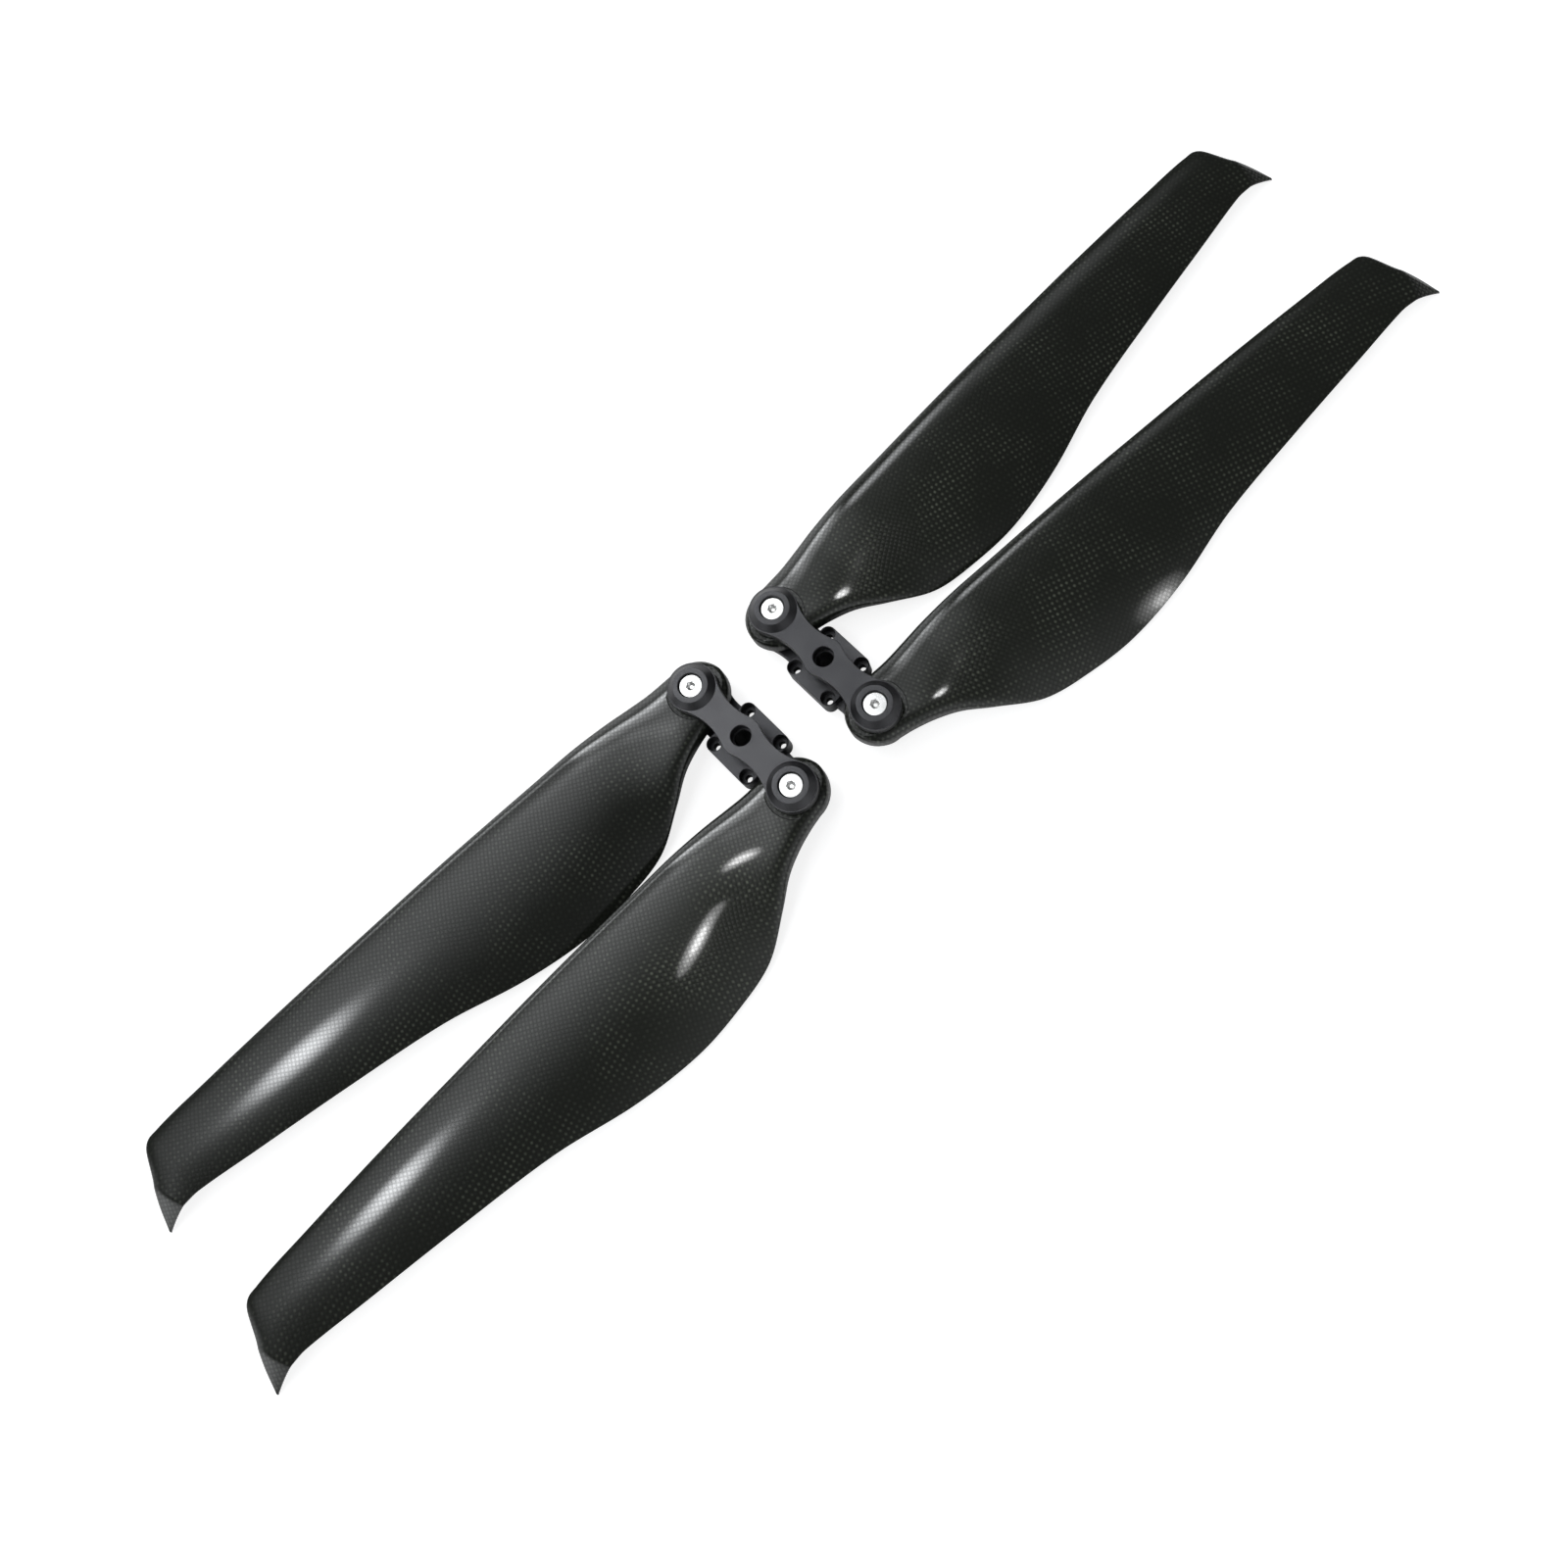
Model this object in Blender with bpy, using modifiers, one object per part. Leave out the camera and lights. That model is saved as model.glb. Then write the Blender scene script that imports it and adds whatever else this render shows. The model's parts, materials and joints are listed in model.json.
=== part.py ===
"""A handed pair of folding two-blade multirotor propellers, folded and laid side by side.

Metres, +Z up. The hub undersides rest on z = 0 and each hub bar lies along Y.
"""
import math

import bmesh
import bpy
from mathutils import Matrix

MM = 0.001

# Pair: two hubs side by side, with the angle each blade is folded back from its flight position
HUB_SPACING = 50.0 * MM
HUB_STAGGER = 1.2 * MM
FOLD_DEG = {
    "ccw_rear": 90.0,
    "ccw_front": 84.2,
    "cw_rear": 87.5,
    "cw_front": 89.1,
}

# Fits: air under a seated piece, and round a pin or screw in its hole
SEAT = 0.3 * MM
RUN = 0.3 * MM

# Hinge screw and its lock nut
HINGE_SPACING = 64.5 * MM
SCREW_R = 3.0 * MM
HEAD_R = 5.2 * MM
HEAD_H = 3.2 * MM
HEAD_EDGE = 0.5 * MM
HEAD_SINK = 1.4 * MM
HEX_KEY = 4.0 * MM
HEX_DEPTH = 2.0 * MM
NUT_ACROSS = 10.0 * MM
NUT_H = 3.0 * MM

# Thrust washers and the bush in each blade root
WASHER_R = 9.0 * MM
WASHER_T = 0.6 * MM
BUSH_WALL = 1.4 * MM

# Hub base: thin arms under the blades, bolting wings and a pillar under the plate
ARM_T = 5.8 * MM
ARM_RELIEF = 0.4 * MM
ARM_R = 12.4 * MM
ARM_WAIST = 10.0 * MM
WING_HALF = 14.4 * MM
WING_TOP = 11.0 * MM
PILLAR_HALF_L = 12.4 * MM
PILLAR_CORNER = 3.0 * MM
PILLAR_INSET = 0.5 * MM
BOLT_CIRCLE = 30.0 * MM
BOLT_HOLE_R = 1.65 * MM
COUNTERBORE_R = 3.2 * MM
COUNTERBORE_FLOOR = 5.4 * MM
CENTRE_BORE_R = 3.75 * MM

# Clamp plate with a coned boss round each screw head
PLATE_T = 5.2 * MM
PLATE_END_R = 11.4 * MM
PLATE_WAIST = 6.8 * MM
PLATE_MIDDLE_R = 9.2 * MM
PLATE_HOLE_R = 4.6 * MM
BOSS_H = 3.2 * MM
BOSS_TOP_R = 8.2 * MM

# Blade root: a round end with flat pads machined top and bottom
ROOT_T = 11.6 * MM
ROOT_R = 15.1 * MM
PAD_R = 13.5 * MM
RIDGE_H = 0.45 * MM

# Blade: reach from the hinge to the tip, widest chord, thickest section, pitch, droop, edge
BLADE_REACH = 325.4 * MM
BLADE_CHORD = 66.7 * MM
BLADE_T = 12.8 * MM
PITCH = 240.0 * MM
STEEPEST = 0.235
TWIST_FROM = 14.0 * MM
TWIST_TO = 64.0 * MM
CAMBER = 0.035
TRAILING_T = 0.8 * MM
BEND = 3.2 * MM
TIP_DROOP = 7.4 * MM
TIP_LENGTH = 16.0 * MM
TIP_LEAN = 0.41
# Outline rows beyond the round root: distance out, leading edge, trailing edge, thickness.
# They give the shape, and the reach, chord and thickness above give its size.
OUTLINE = [
    (7.0, 15.3, -16.2, 12.6),
    (17.0, 15.7, -18.8, 12.8),
    (28.0, 17.0, -23.2, 12.4),
    (40.0, 18.4, -30.6, 10.9),
    (60.0, 19.6, -41.0, 8.8),
    (82.0, 20.2, -44.8, 7.6),
    (108.0, 21.0, -45.7, 6.6),
    (140.0, 21.8, -41.0, 5.6),
    (178.0, 22.2, -31.0, 4.6),
    (226.0, 22.6, -23.0, 3.8),
    (274.0, 22.1, -15.9, 3.0),
    (302.0, 21.2, -11.8, 2.5),
    (309.8, 18.4, -12.0, 2.2),
    (315.4, 5.0, -12.7, 1.9),
    (321.0, -4.9, -13.7, 1.6),
    (325.4, -13.5, -14.6, 1.2),
]
ROUND_END_DEG = [10.0, 28.0, 48.0, 70.0]
EXTRA_STATIONS = [12.0, 22.0, 50.0, 94.0, 124.0, 158.0, 202.0, 250.0, 290.0, 306.5, 313.5, 319.0]
SECTION_STEPS = 9

# Facets round a turned piece
STEPS = 24
BIG_STEPS = 32

# Heights of the stack from the hub underside upward
Z_LOW_WASHER = ARM_T + SEAT
Z_PAD = Z_LOW_WASHER + WASHER_T + SEAT
Z_MID = Z_PAD + ROOT_T / 2
Z_HIGH_WASHER = Z_PAD + ROOT_T + SEAT
Z_PLATE = Z_HIGH_WASHER + WASHER_T + SEAT
Z_PLATE_TOP = Z_PLATE + PLATE_T
Z_BOSS = Z_PLATE_TOP + BOSS_H
Z_HEAD = Z_BOSS - HEAD_SINK
HINGE_Y = HINGE_SPACING / 2
ROOT_ROW = (0.0, ROOT_R, -ROOT_R, ROOT_T + 2 * RIDGE_H)
OUT = BLADE_REACH / OUTLINE[-1][0]
ACROSS = BLADE_CHORD / max(row[1] - row[2] for row in OUTLINE)
DEEP = BLADE_T / max(row[3] for row in OUTLINE)
ROWS = [ROOT_ROW] + [(x * OUT, a * ACROSS, b * ACROSS, t * DEEP) for x, a, b, t in OUTLINE]
TIP_X = BLADE_REACH
TIP_FROM = TIP_X - TIP_LENGTH
BUSH_R = SCREW_R + RUN + BUSH_WALL

# Empty scene with one collection for the parts and one for the cutters
for old in list(bpy.data.objects):
    bpy.data.objects.remove(old, do_unlink=True)
parts = bpy.data.collections.new("folding propeller pair")
cutters = bpy.data.collections.new("cutters")
bpy.context.scene.collection.children.link(parts)
bpy.context.scene.collection.children.link(cutters)


# Materials: one Principled shader each
def material(name, colour, metallic, roughness):
    mat = bpy.data.materials.new(name)
    mat.use_nodes = True
    shader = mat.node_tree.nodes["Principled BSDF"]
    shader.inputs["Base Color"].default_value = (*colour, 1.0)
    shader.inputs["Metallic"].default_value = metallic
    shader.inputs["Roughness"].default_value = roughness
    mat.diffuse_color = (*colour, 1.0)
    return mat


CARBON = material("carbon laminate", (0.02, 0.021, 0.02), 0.0, 0.22)
ANODISED = material("black anodised aluminium", (0.075, 0.075, 0.08), 0.7, 0.42)
STEEL = material("stainless steel", (0.72, 0.72, 0.7), 1.0, 0.25)
ZINC = material("zinc plated steel", (0.55, 0.56, 0.55), 1.0, 0.35)
BRONZE = material("bearing bronze", (0.55, 0.36, 0.16), 1.0, 0.35)
POLYMER = material("bearing polymer", (0.78, 0.77, 0.72), 0.0, 0.5)


# Objects: a part is linked for display, a cutter is hidden as wire
def add_part(name, mesh, mat, parent):
    obj = bpy.data.objects.new(name, mesh)
    parts.objects.link(obj)
    mesh.materials.clear()
    mesh.materials.append(mat)
    obj.parent = parent
    return obj


def add_cutter(name, mesh, parent):
    obj = bpy.data.objects.new(name, mesh)
    cutters.objects.link(obj)
    obj.parent = parent
    obj.hide_render = True
    obj.display_type = "WIRE"
    return obj


def add_empty(name, place, turn, parent):
    obj = bpy.data.objects.new(name, None)
    parts.objects.link(obj)
    obj.parent = parent
    obj.location = place
    obj.rotation_euler = (0.0, 0.0, turn)
    return obj


def boolean(obj, cutter, operation):
    mod = obj.modifiers.new(cutter.name, "BOOLEAN")
    mod.operation = operation
    mod.solver = "EXACT"
    mod.object = cutter


# Round bar between two heights about a vertical axis, and a prism of few sides
def bar(radius, low, high, x=0.0, y=0.0, sides=STEPS):
    mesh = bpy.data.meshes.new("bar")
    bm = bmesh.new()
    place = Matrix.Translation((x, y, (low + high) / 2))
    bmesh.ops.create_cone(bm, cap_ends=True, segments=sides, radius1=radius,
                          radius2=radius, depth=high - low, matrix=place)
    bm.to_mesh(mesh)
    bm.free()
    return mesh


# Turned piece: a profile in (radius, height) swept by a Screw modifier
def turned(name, profile, closed):
    mesh = bpy.data.meshes.new(name)
    count = len(profile)
    ends = count if closed else count - 1
    lines = [(i, (i + 1) % count) for i in range(ends)]
    mesh.from_pydata([(r, 0.0, z) for r, z in profile], lines, [])
    return mesh


def screw_modifier(obj, steps):
    mod = obj.modifiers.new("turn", "SCREW")
    mod.axis = "Z"
    mod.steps = steps
    mod.render_steps = steps
    mod.use_merge_vertices = True
    mod.merge_threshold = 0.00001


def ring_profile(inner, outer, low, high):
    return [(outer, high), (outer, low), (inner, low), (inner, high)]


# Flat outlines: arcs joined into a closed curve, filled and extruded between two heights
def arc(x, y, radius, start, stop, count):
    turns = [start + (stop - start) * i / count for i in range(count + 1)]
    return [(x + radius * math.cos(a), y + radius * math.sin(a)) for a in turns]


def mirrored_twice(quarter):
    right = quarter + [(x, -y) for x, y in reversed(quarter)]
    loop = right + [(-x, y) for x, y in reversed(right)]
    kept = []
    for point in loop:
        if not kept or math.dist(point, kept[-1]) > 1e-6:
            kept.append(point)
    if math.dist(kept[0], kept[-1]) < 1e-6:
        kept.pop()
    return kept


# Bone: two round ends, a round middle and hollow arcs that touch all three circles
def bone(end_r, waist, middle_r):
    low = 0.0
    high = 1.0
    for _ in range(60):
        hollow = (low + high) / 2
        up = math.sqrt((middle_r + hollow) ** 2 - (waist + hollow) ** 2)
        down = math.sqrt((end_r + hollow) ** 2 - (waist + hollow) ** 2)
        if up + down < HINGE_Y:
            low = hollow
        else:
            high = hollow
    x = waist + hollow
    at_end = math.atan2(up - HINGE_Y, x)
    at_middle = math.atan2(up, x)
    quarter = arc(0.0, HINGE_Y, end_r, math.pi / 2, at_end, 10)
    quarter += arc(x, up, hollow, at_end + math.pi, at_middle + math.pi, 5)
    quarter += arc(0.0, 0.0, middle_r, at_middle, 0.0, 3)
    return mirrored_twice(quarter)


def rounded_box(half_x, half_y, corner):
    quarter = [(0.0, half_y)]
    quarter += arc(half_x - corner, half_y - corner, corner, math.pi / 2, 0.0, 6)
    return mirrored_twice(quarter)


def slab(name, outline, low, high):
    curve = bpy.data.curves.new(name, "CURVE")
    curve.dimensions = "2D"
    curve.fill_mode = "BOTH"
    curve.extrude = (high - low) / 2
    spline = curve.splines.new("POLY")
    spline.points.add(len(outline) - 1)
    for point, (x, y) in zip(spline.points, outline):
        point.co = (x, y, 0.0, 1.0)
    spline.use_cyclic_u = True
    holder = bpy.data.objects.new(name, curve)
    bpy.context.scene.collection.objects.link(holder)
    bpy.context.view_layer.update()
    depsgraph = bpy.context.evaluated_depsgraph_get()
    mesh = bpy.data.meshes.new_from_object(holder.evaluated_get(depsgraph))
    bpy.data.objects.remove(holder, do_unlink=True)
    bm = bmesh.new()
    bm.from_mesh(mesh)
    bmesh.ops.remove_doubles(bm, verts=bm.verts, dist=0.000001)
    bmesh.ops.dissolve_limit(bm, angle_limit=0.005, verts=bm.verts, edges=bm.edges)
    bmesh.ops.translate(bm, verts=bm.verts, vec=(0.0, 0.0, (low + high) / 2))
    bmesh.ops.recalc_face_normals(bm, faces=bm.faces)
    bm.to_mesh(mesh)
    bm.free()
    return mesh


# Blade shape: smooth curves through the outline rows
def along(x, column):
    xs = [row[0] for row in ROWS]
    ys = [row[column] for row in ROWS]
    slopes = []
    for i in range(len(xs)):
        before = max(i - 1, 0)
        after = min(i + 1, len(xs) - 1)
        slopes.append((ys[after] - ys[before]) / (xs[after] - xs[before]))
    i = 0
    while i < len(xs) - 2 and x > xs[i + 1]:
        i += 1
    step = xs[i + 1] - xs[i]
    t = (x - xs[i]) / step
    value = ys[i] * (1 + 2 * t) * (1 - t) ** 2 + ys[i + 1] * t * t * (3 - 2 * t)
    return value + step * (slopes[i] * t * (1 - t) ** 2 - slopes[i + 1] * t * t * (1 - t))


def ease(x, start, stop):
    t = min(max((x - start) / (stop - start), 0.0), 1.0)
    return t * t * (3 - 2 * t)


# Twist angle as a slope: set by the pitch outboard, held inboard, and none at the root
def twist(x):
    wanted = PITCH / (2 * math.pi * (HINGE_Y + max(x, 0.0)))
    held = (wanted ** -6 + STEEPEST ** -6) ** (-1 / 6)
    return held * ease(x, TWIST_FROM, TWIST_TO)


# Section loop: leading edge point, then upper side back to the trailing edge, then lower side
def section(x, lead, trail, thick):
    chord = lead - trail
    wing = ease(x, TWIST_FROM, TWIST_TO)
    drop = BEND * (max(x, 0.0) / TIP_X) ** 2
    upper = []
    lower = []
    for k in range(SECTION_STEPS + 1):
        c = (1 - math.cos(math.pi * k / SECTION_STEPS)) / 2
        block = thick / 2 * max(1 - abs(2 * c - 1) ** 4, 0.0) ** 0.25
        foil = 0.2969 * math.sqrt(c) - 0.126 * c - 0.3516 * c * c
        foil = 5 * thick * (foil + 0.2843 * c ** 3 - 0.1036 * c ** 4)
        half = block + (foil - block) * wing + c * c * TRAILING_T / 2
        y = lead - c * chord
        past = x - TIP_FROM - TIP_LEAN * (y - ROWS[-1][2])
        fin = TIP_DROOP * max(past / TIP_LENGTH, 0.0) ** 1.2
        middle = Z_MID - drop - fin + y * twist(x) + 4 * CAMBER * c * (1 - c) * chord * wing
        upper.append((x, y, middle + half))
        lower.append((x, y, middle - half))
    return upper + lower[:0:-1]


def stations():
    rows = []
    for degrees in ROUND_END_DEG:
        a = math.radians(degrees)
        side = ROOT_R * math.sin(a)
        thick = ROOT_ROW[3] * (1 - 0.22 * math.cos(a) ** 8)
        rows.append((-ROOT_R * math.cos(a), side, -side, thick))
    for x in sorted([row[0] for row in ROWS] + [x * OUT for x in EXTRA_STATIONS]):
        rows.append((x, along(x, 1), along(x, 2), along(x, 3)))
    return rows


# Blade skin: hand-built faces between unlike sections, because no primitive lofts a twisted wing
def blade_mesh(name, hand):
    mesh = bpy.data.meshes.new(name)
    bm = bmesh.new()
    loops = []
    for row in stations():
        loops.append([bm.verts.new((x, y * hand, z)) for x, y, z in section(*row)])
    for inner, outer in zip(loops, loops[1:]):
        count = len(inner)
        for i in range(count):
            j = (i + 1) % count
            bm.faces.new((inner[i], inner[j], outer[j], outer[i]))
    bm.faces.new(loops[0])
    bm.faces.new(loops[-1])
    bmesh.ops.recalc_face_normals(bm, faces=bm.faces)
    bm.to_mesh(mesh)
    bm.free()
    return mesh


# Hub base: arms, wings and pillar joined, then bored for motor bolts, hinge screws and nuts
def hub_base(hand_name, hub):
    corner = WING_HALF - BOLT_CIRCLE / 2 * math.sqrt(0.5)
    name = hand_name + "_hub_base"
    arms = slab(name, bone(ARM_R, ARM_WAIST, WING_HALF - PILLAR_INSET), ARM_RELIEF, ARM_T)
    base = add_part(name, arms, ANODISED, hub)
    wings = slab("wings", rounded_box(WING_HALF, WING_HALF, corner), 0.0, WING_TOP)
    boolean(base, add_cutter(name + "_wings", wings, hub), "UNION")
    outline = rounded_box(PLATE_WAIST - PILLAR_INSET, PILLAR_HALF_L, PILLAR_CORNER)
    pillar = slab("pillar", outline, ARM_T / 2, Z_PLATE - SEAT)
    boolean(base, add_cutter(name + "_pillar", pillar, hub), "UNION")
    bore = bar(CENTRE_BORE_R, -ARM_T, Z_PLATE_TOP)
    boolean(base, add_cutter(name + "_bore", bore, hub), "DIFFERENCE")
    for i in range(4):
        a = math.radians(45 + 90 * i)
        x = BOLT_CIRCLE / 2 * math.cos(a)
        y = BOLT_CIRCLE / 2 * math.sin(a)
        hole = bar(BOLT_HOLE_R, -ARM_T, WING_TOP + ARM_T, x, y, 16)
        sink = bar(COUNTERBORE_R, COUNTERBORE_FLOOR, WING_TOP + ARM_T, x, y)
        boolean(base, add_cutter(f"{name}_hole_{i}", hole, hub), "DIFFERENCE")
        boolean(base, add_cutter(f"{name}_sink_{i}", sink, hub), "DIFFERENCE")
    for side, label in ((1, "rear"), (-1, "front")):
        y = side * HINGE_Y
        hole = bar(SCREW_R + RUN, -ARM_T, Z_PAD, 0.0, y)
        across = (NUT_ACROSS + 2 * RUN) / math.sqrt(3)
        pocket = bar(across, -ARM_T, ARM_RELIEF + NUT_H + SEAT, 0.0, y, 6)
        boolean(base, add_cutter(f"{name}_{label}_hole", hole, hub), "DIFFERENCE")
        boolean(base, add_cutter(f"{name}_{label}_pocket", pocket, hub), "DIFFERENCE")


# Clamp plate: bone outline with a coned boss over each hinge, sunk for the screw heads
def clamp_plate(hand_name, hub):
    name = hand_name + "_clamp_plate"
    outline = bone(PLATE_END_R, PLATE_WAIST, PLATE_MIDDLE_R)
    plate = add_part(name, slab(name, outline, Z_PLATE, Z_PLATE_TOP), ANODISED, hub)
    hole = bar(PLATE_HOLE_R, Z_PAD, Z_BOSS)
    boolean(plate, add_cutter(name + "_hole", hole, hub), "DIFFERENCE")
    for side, label in ((1, "rear"), (-1, "front")):
        y = side * HINGE_Y
        foot = PLATE_END_R - PILLAR_INSET
        cone = [(0.0, Z_BOSS), (BOSS_TOP_R, Z_BOSS), (foot, Z_PLATE_TOP)]
        cone += [(foot, Z_PLATE_TOP - PLATE_T / 2), (0.0, Z_PLATE_TOP - PLATE_T / 2)]
        boss = add_cutter(f"{name}_{label}_boss", turned("boss", cone, False), hub)
        boss.location = (0.0, y, 0.0)
        screw_modifier(boss, BIG_STEPS)
        boolean(plate, boss, "UNION")
        sink = bar(HEAD_R + RUN, Z_HEAD - HEAD_H - SEAT, Z_BOSS + PLATE_T, 0.0, y)
        boolean(plate, add_cutter(f"{name}_{label}_sink", sink, hub), "DIFFERENCE")
        through = bar(SCREW_R + RUN, Z_PAD, Z_BOSS, 0.0, y)
        boolean(plate, add_cutter(f"{name}_{label}_hole", through, hub), "DIFFERENCE")


# Hinge hardware: screw from above, lock nut below, a thrust washer each side of the blade
def hinge_hardware(hand_name, label, axis):
    start = hand_name + "_" + label
    low = ARM_RELIEF
    profile = [(0.0, Z_HEAD), (HEAD_R - HEAD_EDGE, Z_HEAD), (HEAD_R, Z_HEAD - HEAD_EDGE)]
    profile += [(HEAD_R, Z_HEAD - HEAD_H), (SCREW_R, Z_HEAD - HEAD_H), (SCREW_R, low), (0.0, low)]
    name = start + "_hinge_screw"
    screw = add_part(name, turned(name, profile, False), STEEL, axis)
    screw_modifier(screw, STEPS)
    socket = bar(HEX_KEY / math.sqrt(3), Z_HEAD - HEX_DEPTH, Z_HEAD + HEAD_H, 0.0, 0.0, 6)
    boolean(screw, add_cutter(name + "_socket", socket, axis), "DIFFERENCE")
    name = start + "_lock_nut"
    prism = bar(NUT_ACROSS / math.sqrt(3), low, low + NUT_H, 0.0, 0.0, 6)
    nut = add_part(name, prism, ZINC, axis)
    thread = bar(SCREW_R + RUN, -ARM_T, Z_PAD)
    boolean(nut, add_cutter(name + "_thread", thread, axis), "DIFFERENCE")
    for word, z in (("lower", Z_LOW_WASHER), ("upper", Z_HIGH_WASHER)):
        name = f"{start}_{word}_washer"
        shape = turned(name, ring_profile(SCREW_R + RUN, WASHER_R, z, z + WASHER_T), True)
        screw_modifier(add_part(name, shape, POLYMER, axis), STEPS)


# Blade with its bush, on an empty that stands on the hinge axis and is turned to the fold
def blade(hand_name, label, hand, axis):
    name = f"{hand_name}_{label}_blade"
    body = add_part(name, blade_mesh(name, hand), CARBON, axis)
    above = bar(PAD_R, Z_PAD + ROOT_T, Z_BOSS, 0.0, 0.0, BIG_STEPS)
    below = bar(PAD_R, -ARM_T, Z_PAD, 0.0, 0.0, BIG_STEPS)
    bore = bar(BUSH_R + RUN, -ARM_T, Z_BOSS)
    boolean(body, add_cutter(name + "_pad_above", above, axis), "DIFFERENCE")
    boolean(body, add_cutter(name + "_pad_below", below, axis), "DIFFERENCE")
    boolean(body, add_cutter(name + "_bore", bore, axis), "DIFFERENCE")
    name = f"{hand_name}_{label}_bush"
    profile = ring_profile(SCREW_R + RUN, BUSH_R, Z_PAD, Z_PAD + ROOT_T)
    screw_modifier(add_part(name, turned(name, profile, True), BRONZE, axis), STEPS)


# Pair: the counter-clockwise propeller on the right, its mirror image on the left
pair = add_empty("pair", (0.0, 0.0, 0.0), 0.0, None)
for hand_name, hand in (("ccw", 1), ("cw", -1)):
    place = (hand * HUB_SPACING / 2, -hand * HUB_STAGGER / 2, 0.0)
    hub = add_empty(hand_name + "_hub", place, 0.0, pair)
    hub_base(hand_name, hub)
    clamp_plate(hand_name, hub)
    for side, label in ((1, "rear"), (-1, "front")):
        fixed = add_empty(f"{hand_name}_{label}_screw_axis", (0.0, side * HINGE_Y, 0.0), 0.0, hub)
        hinge_hardware(hand_name, label, fixed)
        folded = side * (math.pi / 2 - hand * math.radians(FOLD_DEG[hand_name + "_" + label]))
        place = (0.0, side * HINGE_Y, 0.0)
        swing = add_empty(f"{hand_name}_{label}_blade_axis", place, folded, hub)
        blade(hand_name, label, hand, swing)

# Origin: under the middle of the whole folded pair
bpy.context.view_layer.update()
places = []
for obj in parts.objects:
    if obj.name.endswith("_blade"):
        places += [obj.matrix_world @ vertex.co for vertex in obj.data.vertices]
for i in range(2):
    pair.location[i] = -(min(p[i] for p in places) + max(p[i] for p in places)) / 2
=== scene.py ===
import json
import math

import bmesh
import bpy
from mathutils import Matrix, Vector


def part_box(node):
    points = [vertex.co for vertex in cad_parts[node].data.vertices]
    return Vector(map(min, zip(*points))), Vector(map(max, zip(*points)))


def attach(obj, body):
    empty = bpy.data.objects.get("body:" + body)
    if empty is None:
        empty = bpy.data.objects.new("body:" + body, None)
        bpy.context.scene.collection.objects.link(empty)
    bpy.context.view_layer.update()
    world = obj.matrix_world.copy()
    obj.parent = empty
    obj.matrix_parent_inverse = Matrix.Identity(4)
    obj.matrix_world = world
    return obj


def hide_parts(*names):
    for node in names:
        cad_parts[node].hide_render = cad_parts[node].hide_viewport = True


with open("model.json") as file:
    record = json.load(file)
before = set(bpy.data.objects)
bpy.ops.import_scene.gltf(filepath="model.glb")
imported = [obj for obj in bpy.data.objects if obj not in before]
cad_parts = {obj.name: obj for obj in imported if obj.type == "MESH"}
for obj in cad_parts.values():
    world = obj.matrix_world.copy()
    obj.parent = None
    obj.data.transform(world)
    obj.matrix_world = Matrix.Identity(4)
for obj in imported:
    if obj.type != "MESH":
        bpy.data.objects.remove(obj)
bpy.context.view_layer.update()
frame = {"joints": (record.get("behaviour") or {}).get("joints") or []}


# Hub base: the lower half of each hub, milled from one piece of aluminium, bead blasted and
# anodised black. Thin arms lie under the blades, square wings bolt down on the motor through
# four counterbored holes, and a pillar between the blades carries the clamp plate.
MM = 0.001
HANDS = {"ccw": 1, "cw": -1}
SIDES = {"rear": 1, "front": -1}
HINGE_Y = 32.25
SCREW_HOLE_R = 3.3
ARM_R = 12.4
ARM_WAIST = 10.0
ARM_LOW = 0.4
ARM_TOP = 5.8
WING_HALF = 14.4
WING_TOP = 11.0
BOLT_AT = 10.607
BOLT_HOLE_R = 1.65
BOLT_HEAD_R = 3.2
BOLT_SEAT = 5.4
PILLAR_HALF = (6.3, 12.4)
PILLAR_CORNER = 3.0
PILLAR_LOW = 3.0
PILLAR_TOP = 19.5
SHAFT_HOLE_R = 3.75
POCKET_R = 6.12
POCKET_TOP = 3.7
# broken edges, and how far a cutting tool starts and ends outside the piece
CHAMFER = 0.3
PAST = 2.0
collection = bpy.context.scene.collection
up = (0, 0, 1)


def verts_of(made):
    return [item for item in made if isinstance(item, bmesh.types.BMVert)]


def rim_edges(bm, height):
    return [e for e in bm.edges if all(abs(v.co.z - height) < 1e-4 for v in e.verts)]


def soften(bm, height, width, segments):
    bmesh.ops.bevel(bm, geom=rim_edges(bm, height), offset=width, offset_type="OFFSET",
                    affect="EDGES", segments=segments, profile=0.5, material=-1)


def raise_face(bm, height):
    made = bmesh.ops.extrude_face_region(bm, geom=bm.faces[:])
    bmesh.ops.translate(bm, verts=verts_of(made["geom"]), vec=(0, 0, height))
    bmesh.ops.recalc_face_normals(bm, faces=bm.faces[:])


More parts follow.
